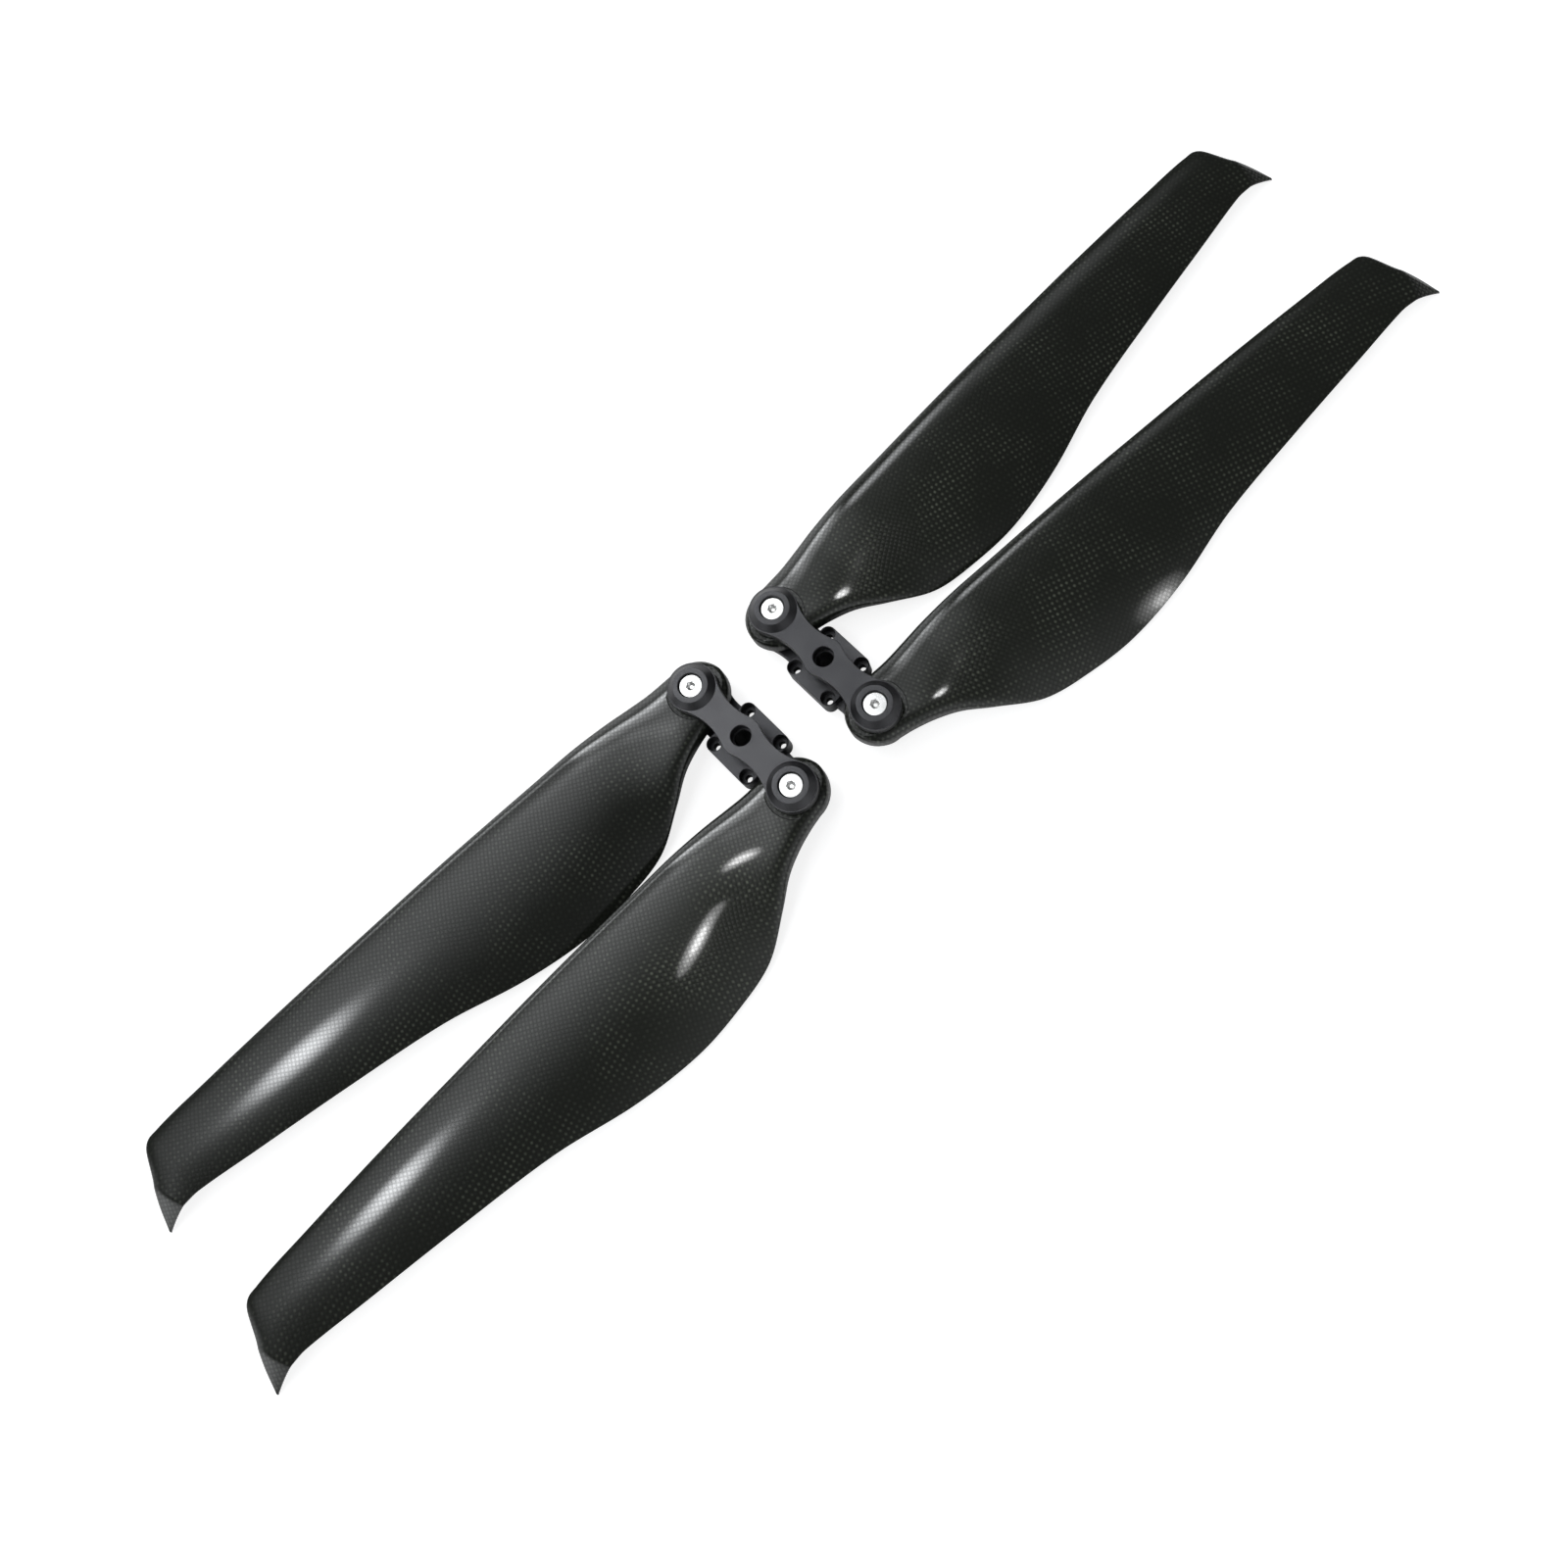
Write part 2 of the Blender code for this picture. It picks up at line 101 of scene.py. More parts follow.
# A bone is two round ends and a round middle, joined by hollow arcs that touch all three
def bone_block(end_r, waist, middle_r, low, high):
    least, most = 0.0, 1000.0
    for _ in range(60):
        hollow = (least + most) / 2
        rise = math.sqrt((middle_r + hollow) ** 2 - (waist + hollow) ** 2)
        fall = math.sqrt((end_r + hollow) ** 2 - (waist + hollow) ** 2)
        if rise + fall < HINGE_Y:
            least = hollow
        else:
            most = hollow
    x = waist + hollow
    at_end = math.atan2(rise - HINGE_Y, x)
    at_middle = math.atan2(rise, x)
    bm = bmesh.new()
    tip = [bm.verts.new((0, HINGE_Y + end_r, low))]
    turns = [(0, HINGE_Y, at_end - math.pi / 2, 30), (x, rise, at_middle - at_end, 20),
             (0, 0, -at_middle, 10)]
    for centre_x, centre_y, angle, steps in turns:
        made = bmesh.ops.spin(bm, geom=tip, cent=(centre_x, centre_y, low), axis=up,
                              angle=angle, steps=steps)
        tip = verts_of(made["geom_last"])
    for axis in ("X", "Y"):
        bmesh.ops.mirror(bm, geom=bm.verts[:] + bm.edges[:], matrix=Matrix.Identity(4),
                         merge_dist=1e-4, axis=axis)
    bmesh.ops.remove_doubles(bm, verts=bm.verts[:], dist=1e-4)
    bmesh.ops.edgeloop_fill(bm, edges=bm.edges[:])
    raise_face(bm, high - low)
    return bm


def cornered_block(half_x, half_y, corner, low, high):
    bm = bmesh.new()
    bmesh.ops.create_grid(bm, x_segments=1, y_segments=1, size=1)
    bmesh.ops.scale(bm, verts=bm.verts[:], vec=(half_x, half_y, 1))
    bmesh.ops.translate(bm, verts=bm.verts[:], vec=(0, 0, low))
    bmesh.ops.bevel(bm, geom=bm.verts[:], offset=corner, offset_type="OFFSET",
                    affect="VERTICES", segments=12, profile=0.5, material=-1)
    raise_face(bm, high - low)
    return bm


# A lathe turns a profile of (radius, height) about a vertical axis
def lathe(bm, profile, x=0.0, y=0.0, steps=72, closed=False):
    line = [bm.verts.new((x + r, y, z)) for r, z in profile]
    ends = line[1:] + line[:1] if closed else line[1:]
    edges = [bm.edges.new(pair) for pair in zip(line, ends)]
    bmesh.ops.spin(bm, geom=line + edges, cent=(x, y, 0), axis=up, angle=math.tau,
                   steps=steps, use_merge=True)
    bmesh.ops.remove_doubles(bm, verts=bm.verts[:], dist=1e-5)
    bmesh.ops.recalc_face_normals(bm, faces=bm.faces[:])
    return bm


# Join or cut one block with another by a Boolean on two passing objects
def machined(stock, tool, operation):
    passing = []
    for bm in (stock, tool):
        mesh = bpy.data.meshes.new("passing")
        bm.to_mesh(mesh)
        bm.free()
        passing.append(bpy.data.objects.new("passing", mesh))
        collection.objects.link(passing[-1])
    work, cutter = passing
    mod = work.modifiers.new("cut", "BOOLEAN")
    mod.operation = operation
    mod.solver = "EXACT"
    mod.object = cutter
    bpy.context.view_layer.update()
    result = bmesh.new()
    result.from_object(work, bpy.context.evaluated_depsgraph_get())
    for obj in passing:
        mesh = obj.data
        bpy.data.objects.remove(obj)
        bpy.data.meshes.remove(mesh)
    return result


# Put a finished mesh in its place, in metres, on its body, in place of its CAD node
def fit(name, bm, place, finish, body, node, sharp=30):
    mesh = bpy.data.meshes.new(name)
    bm.transform(Matrix.Translation(place) @ Matrix.Scale(MM, 4))
    bm.to_mesh(mesh)
    bm.free()
    mesh.shade_smooth()
    mesh.set_sharp_from_angle(angle=math.radians(sharp))
    mesh.materials.clear()
    mesh.materials.append(finish)
    piece = bpy.data.objects.new(name, mesh)
    collection.objects.link(piece)
    weigh = piece.modifiers.new("flat faces stay flat", "WEIGHTED_NORMAL")
    weigh.keep_sharp = True
    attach(piece, body)
    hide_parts(node)


def add(tree, kind, **inputs):
    made = tree.nodes.new(kind)
    for name, value in inputs.items():
        made.inputs[name.replace("_", " ")].default_value = value
    return made


# Grain: a fine grit and a slow cloud over it, shared by the blasted and rolled finishes
grain = bpy.data.node_groups.new("grain", "ShaderNodeTree")
for name, kind in (("Vector", "NodeSocketVector"), ("Grit", "NodeSocketFloat"),
                   ("Cloud", "NodeSocketFloat")):
    grain.interface.new_socket(name, in_out="INPUT", socket_type=kind)
for name in ("Height", "Drift"):
    grain.interface.new_socket(name, in_out="OUTPUT", socket_type="NodeSocketFloat")
into = grain.nodes.new("NodeGroupInput")
out_of = grain.nodes.new("NodeGroupOutput")
grit = add(grain, "ShaderNodeTexNoise", Detail=3.0, Roughness=0.6)
cloud = add(grain, "ShaderNodeTexNoise", Detail=2.0, Roughness=0.5)
for texture, scale, output in ((grit, "Grit", "Height"), (cloud, "Cloud", "Drift")):
    grain.links.new(into.outputs["Vector"], texture.inputs["Vector"])
    grain.links.new(into.outputs[scale], texture.inputs["Scale"])
    grain.links.new(texture.outputs["Fac"], out_of.inputs[output])


# A grained finish: colour and roughness drift between two values, and the grit stands as bump
def grained(name, dark, light, smooth, rough, metallic, grit, cloud, bump):
    mat = bpy.data.materials.new(name)
    mat.use_nodes = True
    tree = mat.node_tree
    shader = tree.nodes["Principled BSDF"]
    shader.inputs["Metallic"].default_value = metallic
    where = tree.nodes.new("ShaderNodeTexCoord")
    group = tree.nodes.new("ShaderNodeGroup")
    group.node_tree = grain
    group.inputs["Grit"].default_value = grit
    group.inputs["Cloud"].default_value = cloud
    colour = tree.nodes.new("ShaderNodeValToRGB")
    colour.color_ramp.elements[0].position = 0.3
    colour.color_ramp.elements[1].position = 0.7
    colour.color_ramp.elements[0].color = (*dark, 1)
    colour.color_ramp.elements[1].color = (*light, 1)
    gloss = add(tree, "ShaderNodeMapRange", From_Min=0.3, From_Max=0.7)
    gloss.inputs["To Min"].default_value = smooth
    gloss.inputs["To Max"].default_value = rough
    relief = add(tree, "ShaderNodeBump", Strength=bump, Distance=0.0002)
    tree.links.new(where.outputs["Object"], group.inputs["Vector"])
    tree.links.new(group.outputs["Drift"], colour.inputs["Fac"])
    tree.links.new(group.outputs["Height"], gloss.inputs["Value"])
    tree.links.new(group.outputs["Height"], relief.inputs["Height"])
    tree.links.new(colour.outputs["Color"], shader.inputs["Base Color"])
    tree.links.new(gloss.outputs["Result"], shader.inputs["Roughness"])
    tree.links.new(relief.outputs["Normal"], shader.inputs["Normal"])
    return mat


anodised = grained("black anodised aluminium", dark=(0.044, 0.044, 0.047),
                   light=(0.058, 0.058, 0.061), smooth=0.24, rough=0.38, metallic=0.75,
                   grit=5200.0, cloud=55.0, bump=0.3)

shaft_hole = [(0, -PAST), (SHAFT_HOLE_R + 0.6, -PAST), (SHAFT_HOLE_R + 0.6, -0.1),
              (SHAFT_HOLE_R, 0.5), (SHAFT_HOLE_R, PILLAR_TOP - 0.4),
              (SHAFT_HOLE_R + 0.4, PILLAR_TOP), (SHAFT_HOLE_R + 0.4, PILLAR_TOP + PAST),
              (0, PILLAR_TOP + PAST)]
bolt_hole = [(0, -PAST), (BOLT_HOLE_R + CHAMFER, -PAST), (BOLT_HOLE_R + CHAMFER, 0),
             (BOLT_HOLE_R, CHAMFER), (BOLT_HOLE_R, BOLT_SEAT), (BOLT_HEAD_R, BOLT_SEAT),
             (BOLT_HEAD_R, WING_TOP - 0.25), (BOLT_HEAD_R + 0.25, WING_TOP),
             (BOLT_HEAD_R + 0.25, WING_TOP + PAST), (0, WING_TOP + PAST)]
screw_hole = [(0, -PAST), (SCREW_HOLE_R, -PAST), (SCREW_HOLE_R, ARM_TOP - CHAMFER),
              (SCREW_HOLE_R + CHAMFER, ARM_TOP), (SCREW_HOLE_R + CHAMFER, ARM_TOP + PAST),
              (0, ARM_TOP + PAST)]

hub_at = {}
hinge_at = {}
for hand in HANDS:
    low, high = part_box(hand + "_hub_base")
    hub_at[hand] = Vector(((low.x + high.x) / 2, (low.y + high.y) / 2, 0))
    for side, way in SIDES.items():
        hinge_at[hand, side] = hub_at[hand] + Vector((0, way * HINGE_Y * MM, 0))
    base = bone_block(ARM_R, ARM_WAIST, WING_HALF - 0.5, ARM_LOW, ARM_TOP)
    soften(base, ARM_TOP, 0.5, 2)
    soften(base, ARM_LOW, CHAMFER, 1)
    wings = cornered_block(WING_HALF, WING_HALF, WING_HALF - BOLT_AT, 0.0, WING_TOP)
    soften(wings, WING_TOP, 0.35, 2)
    soften(wings, 0.0, CHAMFER, 1)
    base = machined(base, wings, "UNION")
    pillar = cornered_block(*PILLAR_HALF, PILLAR_CORNER, PILLAR_LOW, PILLAR_TOP)
    soften(pillar, PILLAR_TOP, CHAMFER, 1)
    base = machined(base, pillar, "UNION")
    tools = lathe(bmesh.new(), shaft_hole)
    for x in (-BOLT_AT, BOLT_AT):
        for y in (-BOLT_AT, BOLT_AT):
            lathe(tools, bolt_hole, x, y, steps=48)
    base = machined(base, tools, "DIFFERENCE")
    tools = bmesh.new()
    for way in SIDES.values():
        lathe(tools, screw_hole, 0, way * HINGE_Y)
    base = machined(base, tools, "DIFFERENCE")
    tools = bmesh.new()
    for way in SIDES.values():
        middle = (0, way * HINGE_Y, (POCKET_TOP - PAST) / 2)
        bmesh.ops.create_cone(tools, cap_ends=True, segments=6, radius1=POCKET_R,
                              radius2=POCKET_R, depth=POCKET_TOP + PAST,
                              matrix=Matrix.Translation(middle))
    base = machined(base, tools, "DIFFERENCE")
    fit(hand + "_hub_block", base, hub_at[hand], anodised, hand + "_hub_set",
        hand + "_hub_base")


# Lock nuts: zinc plated hexagons pressed in pockets under the arms, corners chamfered, with a
# nylon ring at the screw's end so that the blades keep their swing without shaking loose.
NUT_R = 5.7735
NUT_LOW = 0.4
NUT_TOP = 3.4
RING_R = 4.2
RING_HOLE_R = 3.1
RING_LOW = 0.45
RING_TOP = 1.1
zinc = grained("zinc plated steel", dark=(0.50, 0.51, 0.50), light=(0.60, 0.61, 0.60),
               smooth=0.24, rough=0.42, metallic=1.0, grit=2600.0, cloud=120.0, bump=0.12)
nylon = grained("nylon ring", dark=(0.10, 0.16, 0.34), light=(0.13, 0.20, 0.40),
                smooth=0.40, rough=0.55, metallic=0.0, grit=1800.0, cloud=90.0, bump=0.1)

corners = [(0, 0), (4.7, 0), (5.9, 1.0), (5.9, 2.8), (4.9, 3.6), (0, 3.6)]
thread = [(0, -PAST), (RING_R + 0.1, -PAST), (RING_R + 0.1, RING_TOP + 0.1),
          (SCREW_HOLE_R, RING_TOP + 0.1), (SCREW_HOLE_R, NUT_TOP - CHAMFER),
          (SCREW_HOLE_R + CHAMFER, NUT_TOP), (SCREW_HOLE_R + CHAMFER, NUT_TOP + PAST),
          (0, NUT_TOP + PAST)]
ring = [(RING_HOLE_R, RING_LOW + 0.15), (RING_HOLE_R + 0.15, RING_LOW),
        (RING_R - 0.15, RING_LOW), (RING_R, RING_LOW + 0.15), (RING_R, RING_TOP),
        (RING_HOLE_R, RING_TOP)]

for (hand, side), place in hinge_at.items():
    nut = bmesh.new()
    bmesh.ops.create_cone(nut, cap_ends=True, segments=6, radius1=NUT_R, radius2=NUT_R,
                          depth=NUT_TOP - NUT_LOW,
                          matrix=Matrix.Translation((0, 0, (NUT_LOW + NUT_TOP) / 2)))
    nut = machined(nut, lathe(bmesh.new(), corners), "INTERSECT")
    nut = machined(nut, lathe(bmesh.new(), thread), "DIFFERENCE")
    insert = lathe(bmesh.new(), ring, closed=True)
    name = f"{hand}_{side}_lock_nut"
    fit(f"{hand}_{side}_pressed_nut", nut, place, zinc, hand + "_hub_set", name)
    fit(f"{hand}_{side}_nylon_ring", insert, place, nylon, hand + "_hub_set", name)


# Thrust washers: thin discs of bearing polymer, one under and one over each blade root, with
# their rims broken so that the blade turns on them without wear to the anodised hub.
WASHER_R = 9.0
WASHER_THICK = 0.6
WASHER_RIM = 0.15
WASHER_LOW = {"lower": 6.1, "upper": 18.9}
polymer = grained("bearing polymer", dark=(0.10, 0.10, 0.095), light=(0.14, 0.14, 0.13),
                  smooth=0.42, rough=0.58, metallic=0.0, grit=2200.0, cloud=140.0, bump=0.12)

for (hand, side), place in hinge_at.items():
    for level, low in WASHER_LOW.items():
        high = low + WASHER_THICK
        ring = [(SCREW_HOLE_R, low), (WASHER_R - WASHER_RIM, low), (WASHER_R, low + WASHER_RIM),
                (WASHER_R, high - WASHER_RIM), (WASHER_R - WASHER_RIM, high),
                (SCREW_HOLE_R, high)]
        washer = lathe(bmesh.new(), ring, closed=True)
        name = f"{hand}_{side}_{level}_washer"
        fit(f"{hand}_{side}_{level}_slip_ring", washer, place, polymer,
            hand + "_hub_set", name)


# Blades: carbon cloth moulded round a light core, under clear lacquer, a left-handed and a
# right-handed pair. The round root has flat pads and a bored hinge hole; outboard it twists
# into a broad wing that tapers to a raked tip bent down as a small fin.
Z_MID = 12.8
ROOT_R = 15.0
ROOT_THICK = 12.5
ROOT_SQUARE = 2.8
END_ROUND = 0.22
ROOT_LOW = 7.0
ROOT_TOP = 18.6
PAD_R = 13.5
BORE_R = 5.0
UNDER_ROOT = -8.0
OVER_ROOT = 30.0
WING_FROM = 14.0
WING_WHOLE = 64.0
PITCH = 240.0
STEEPEST = 0.235
CAMBER = 0.035
TRAIL_HALF = 0.4
BEND = 3.2
TIP_DROOP = 7.4
TIP_LENGTH = 16.0
TIP_LEAN = 0.41
# how far the skin lies inside the outline, and how close its sections and points are
SKIN_EASE = 0.12
ROOT_END_DEGREES = (6, 12, 19, 27, 35, 43, 51, 59, 67, 75, 83)
STEP = 2.5
TIP_STEP = 0.7
TIP_FROM = 296.0
AROUND = 30
# distance out from the hinge, leading edge, trailing edge, thickness
OUTLINE = [
    (0.0, 15.1, -15.1, 12.5), (7.0, 15.3, -16.2, 12.6), (17.0, 15.7, -18.8, 12.8),
    (28.0, 17.0, -23.2, 12.4), (40.0, 18.4, -30.6, 10.9), (60.0, 19.6, -41.0, 8.8),
    (82.0, 20.2, -44.8, 7.6), (108.0, 21.0, -45.7, 6.6), (140.0, 21.8, -41.0, 5.6),
    (178.0, 22.2, -31.0, 4.6), (226.0, 22.6, -23.0, 3.8), (274.0, 22.1, -15.9, 3.0),
    (302.0, 21.2, -11.8, 2.5), (309.8, 18.4, -12.0, 2.2), (315.4, 5.0, -12.7, 1.9),
    (321.0, -4.9, -13.7, 1.6), (325.4, -13.5, -14.6, 1.2),
]
TIP_X = OUTLINE[-1][0]


# A smooth curve through one column of the outline
def along(x, column):
    xs = [row[0] for row in OUTLINE]
    ys = [row[column] for row in OUTLINE]
    last = len(xs) - 1
    slopes = [(ys[min(i + 1, last)] - ys[max(i - 1, 0)])
              / (xs[min(i + 1, last)] - xs[max(i - 1, 0)]) for i in range(last + 1)]
    i = 0
    while i < last - 1 and x > xs[i + 1]:
        i += 1
    step = xs[i + 1] - xs[i]
    t = (x - xs[i]) / step
    value = ys[i] * (1 + 2 * t) * (1 - t) ** 2 + ys[i + 1] * t * t * (3 - 2 * t)
    return value + step * (slopes[i] * t * (1 - t) ** 2 - slopes[i + 1] * t * t * (1 - t))


def ease(x, start, stop):
    t = min(max((x - start) / (stop - start), 0.0), 1.0)
    return t * t * (3 - 2 * t)


# Twist as a slope: none at the root, then held, then set by the pitch
def twist(x):
    wanted = PITCH / (math.tau * (HINGE_Y + max(x, 0.0)))
    return (wanted ** -6 + STEEPEST ** -6) ** (-1 / 6) * ease(x, WING_FROM, WING_WHOLE)


# Section: from the leading edge over the top to the trailing edge, and back underneath
def section(x, lead, trail, thick):
    chord = lead - trail
    wing = ease(x, WING_FROM, WING_WHOLE)
    top, under = [], []
    for k in range(AROUND + 1):
        c = (1 - math.cos(math.pi * k / AROUND)) / 2
        block = max(1 - abs(2 * c - 1) ** ROOT_SQUARE, 0.0) ** (1 / ROOT_SQUARE) * thick / 2
        foil = 0.2969 * math.sqrt(c) - 0.126 * c - 0.3516 * c * c
        foil = 5 * thick * (foil + 0.2843 * c ** 3 - 0.1036 * c ** 4)
        half = block + (foil - block) * wing + c * c * TRAIL_HALF
        y = lead - c * chord
        past = x - (TIP_X - TIP_LENGTH) - TIP_LEAN * (y - OUTLINE[-1][2])
        fin = TIP_DROOP * max(past / TIP_LENGTH, 0.0) ** 1.2
        middle = Z_MID - BEND * (max(x, 0.0) / TIP_X) ** 2 - fin + y * twist(x)
        middle += 4 * CAMBER * c * (1 - c) * chord * wing
        top.append(Vector((x, y, middle + half)))
        under.append(Vector((x, y, middle - half)))
    return top + under[:0:-1]


# One blade skin: the first section, then section after section drawn out of it
def blade_skin():
    rows = []
    for degrees in ROOT_END_DEGREES:
        a = math.radians(degrees)
        y = ROOT_R * math.sin(a)
        thick = ROOT_THICK * (1 - END_ROUND * math.cos(a) ** 8)
        rows.append((-ROOT_R * math.cos(a), y, -y, thick))
    x = 0.0
    while x < TIP_X:
        rows.append((x, along(x, 1) - SKIN_EASE, along(x, 2) + SKIN_EASE, along(x, 3)))
        x += STEP if x < TIP_FROM else TIP_STEP
    rows.append(OUTLINE[-1])
    bm = bmesh.new()
    ring = [bm.verts.new(point) for point in section(*rows[0])]
    edges = [bm.edges.new(pair) for pair in zip(ring, ring[1:] + ring[:1])]
    bmesh.ops.edgeloop_fill(bm, edges=edges)
    for row in rows[1:]:
        made = bmesh.ops.extrude_edge_only(bm, edges=edges)["geom"]
        edges = [item for item in made if isinstance(item, bmesh.types.BMEdge)
                 and len(item.link_faces) == 1]
        new = set(verts_of(made))
        drawn = []
        for old in ring:
            joined = [edge.other_vert(old) for edge in old.link_edges]
            drawn.append(next(vert for vert in joined if vert in new))
        for vert, point in zip(drawn, section(*row)):
            vert.co = point
        ring = drawn
    bmesh.ops.edgeloop_fill(bm, edges=edges)
    bmesh.ops.recalc_face_normals(bm, faces=bm.faces[:])
    return bm


carbon = bpy.data.materials.new("lacquered carbon cloth")
carbon.use_nodes = True
tree = carbon.node_tree
shader = tree.nodes["Principled BSDF"]
shader.inputs["Coat Roughness"].default_value = 0.09
shader.inputs["Specular IOR Level"].default_value = 0.08
# The cloth lies on the bias, and wanders a little as it is drawn into the mould
CLOTH_TURN = 58
TOWS_PER_MM = 0.56
WANDER = 2.5
laid = tree.nodes.new("ShaderNodeUVMap")
laid.uv_map = "cloth"
wander = add(tree, "ShaderNodeTexNoise", Scale=0.03, Detail=1.0)
tree.links.new(laid.outputs["UV"], wander.inputs["Vector"])
drawn = tree.nodes.new("ShaderNodeVectorMath")
drawn.operation = "MULTIPLY_ADD"
drawn.inputs[1].default_value = (WANDER, WANDER, 0)
tree.links.new(wander.outputs["Color"], drawn.inputs[0])
tree.links.new(laid.outputs["UV"], drawn.inputs[2])
bias = tree.nodes.new("ShaderNodeMapping")
bias.inputs["Rotation"].default_value = (0, 0, math.radians(CLOTH_TURN))
bias.inputs["Scale"].default_value = (TOWS_PER_MM, TOWS_PER_MM, 1)
tree.links.new(drawn.outputs["Vector"], bias.inputs["Vector"])


def reckon(tree, operation, first, second=None):
    made = tree.nodes.new("ShaderNodeMath")
    made.operation = operation
    for socket, value in zip(made.inputs, (first, second)):
        if isinstance(value, bpy.types.NodeSocket):
            tree.links.new(value, socket)
        elif value is not None:
            socket.default_value = value
    return made.outputs[0]


def between(tree, value, low, high, least, most):
    made = add(tree, "ShaderNodeMapRange", From_Min=low, From_Max=high)
    made.inputs["To Min"].default_value = least
    made.inputs["To Max"].default_value = most
    tree.links.new(value, made.inputs["Value"])
    return made.outputs["Result"]


# Each tow crossing is a small crown; every other crossing shows its tow brighter, some more
tows = add(tree, "ShaderNodeTexChecker", Scale=1.0)
tree.links.new(bias.outputs["Vector"], tows.inputs["Vector"])
ways = tree.nodes.new("ShaderNodeSeparateXYZ")
tree.links.new(bias.outputs["Vector"], ways.inputs["Vector"])
crowns = []
for axis in ("X", "Y"):
    wave = reckon(tree, "SINE", reckon(tree, "MULTIPLY", ways.outputs[axis], math.pi))
    crowns.append(reckon(tree, "ABSOLUTE", wave))
crown = reckon(tree, "MULTIPLY", *crowns)
cell = tree.nodes.new("ShaderNodeVectorMath")
cell.operation = "FLOOR"
tree.links.new(bias.outputs["Vector"], cell.inputs[0])
chance = tree.nodes.new("ShaderNodeTexWhiteNoise")
chance.noise_dimensions = "2D"
tree.links.new(cell.outputs["Vector"], chance.inputs["Vector"])
patch = add(tree, "ShaderNodeTexNoise", Scale=0.032, Detail=2.0)
tree.links.new(laid.outputs["UV"], patch.inputs["Vector"])
shown = reckon(tree, "MULTIPLY", between(tree, patch.outputs["Fac"], 0.42, 0.68, 0.14, 0.95),
               between(tree, chance.outputs["Value"], 0.0, 1.0, 0.25, 1.0))
dot = reckon(tree, "MULTIPLY", tows.outputs["Fac"], reckon(tree, "POWER", crown, 1.5))
bright = reckon(tree, "MULTIPLY", dot, shown)
colour = tree.nodes.new("ShaderNodeMix")
colour.data_type = "RGBA"
colour.inputs["A"].default_value = (0.0084, 0.0096, 0.0072, 1)
colour.inputs["B"].default_value = (0.078, 0.086, 0.067, 1)
tree.links.new(bright, colour.inputs["Factor"])
tree.links.new(colour.outputs["Result"], shader.inputs["Base Color"])
tree.links.new(between(tree, bright, 0.0, 1.0, 0.36, 0.5), shader.inputs["Roughness"])
rim = tree.nodes.new("ShaderNodeLayerWeight")
coat = reckon(tree, "MULTIPLY", between(tree, crown, 0.0, 1.0, 0.6, 1.0),
              between(tree, rim.outputs["Facing"], 0.55, 0.9, 1.0, 0.15))
tree.links.new(coat, shader.inputs["Coat Weight"])
relief = add(tree, "ShaderNodeBump", Strength=0.35, Distance=0.0003)
tree.links.new(crown, relief.inputs["Height"])
tree.links.new(relief.outputs["Normal"], shader.inputs["Normal"])

skin = blade_skin()
upper_pad = [(0, ROOT_TOP), (PAD_R - 0.4, ROOT_TOP), (PAD_R, ROOT_TOP + 0.25),
             (PAD_R, OVER_ROOT), (0, OVER_ROOT)]
lower_pad = [(0, UNDER_ROOT), (PAD_R, UNDER_ROOT), (PAD_R, ROOT_LOW - 0.25),
             (PAD_R - 0.4, ROOT_LOW), (0, ROOT_LOW)]
pads = lathe(bmesh.new(), upper_pad, steps=96)
lathe(pads, lower_pad, steps=96)
skin = machined(skin, pads, "DIFFERENCE")
bore = [(0, UNDER_ROOT), (BORE_R + CHAMFER, UNDER_ROOT), (BORE_R + CHAMFER, ROOT_LOW),
        (BORE_R, ROOT_LOW + CHAMFER), (BORE_R, ROOT_TOP - CHAMFER),
        (BORE_R + CHAMFER, ROOT_TOP), (BORE_R + CHAMFER, OVER_ROOT), (0, OVER_ROOT)]
skin = machined(skin, lathe(bmesh.new(), bore), "DIFFERENCE")
cloth = skin.loops.layers.uv.new("cloth")
for face in skin.faces:
    for loop in face.loops:
        loop[cloth].uv = loop.vert.co.xy

swing = {joint["name"]: joint for joint in frame["joints"]}
for (hand, side), place in hinge_at.items():
    fold = math.radians(swing[f"{hand}_{side}_fold"]["range_deg"][1])
    angle = SIDES[side] * (math.pi / 2 - HANDS[hand] * fold)
    blade = skin.copy()
    if HANDS[hand] < 0:
        bmesh.ops.scale(blade, verts=blade.verts[:], vec=(1, -1, 1))
        bmesh.ops.reverse_faces(blade, faces=blade.faces[:])
    bmesh.ops.rotate(blade, verts=blade.verts[:], cent=(0, 0, 0),
                     matrix=Matrix.Rotation(angle, 3, "Z"))
    fit(f"{hand}_{side}_blade_skin", blade, place, carbon,
        f"{hand}_{side}_blade_set", f"{hand}_{side}_blade", sharp=50)
skin.free()


# Bushes: bronze sleeves bonded in the blade roots, which turn on the hinge screws.
# Each is a plain turned tube with broken edges, flush with the root's pads.
BUSH_R = 4.7
bronze = grained("bearing bronze", dark=(0.50, 0.32, 0.13), light=(0.60, 0.40, 0.18),
                 smooth=0.26, rough=0.40, metallic=1.0, grit=1500.0, cloud=160.0, bump=0.08)

sleeve = [(SCREW_HOLE_R, ROOT_LOW + CHAMFER), (SCREW_HOLE_R + CHAMFER, ROOT_LOW),
          (BUSH_R - CHAMFER, ROOT_LOW), (BUSH_R, ROOT_LOW + CHAMFER),
          (BUSH_R, ROOT_TOP - CHAMFER), (BUSH_R - CHAMFER, ROOT_TOP),
          (SCREW_HOLE_R + CHAMFER, ROOT_TOP), (SCREW_HOLE_R, ROOT_TOP - CHAMFER)]

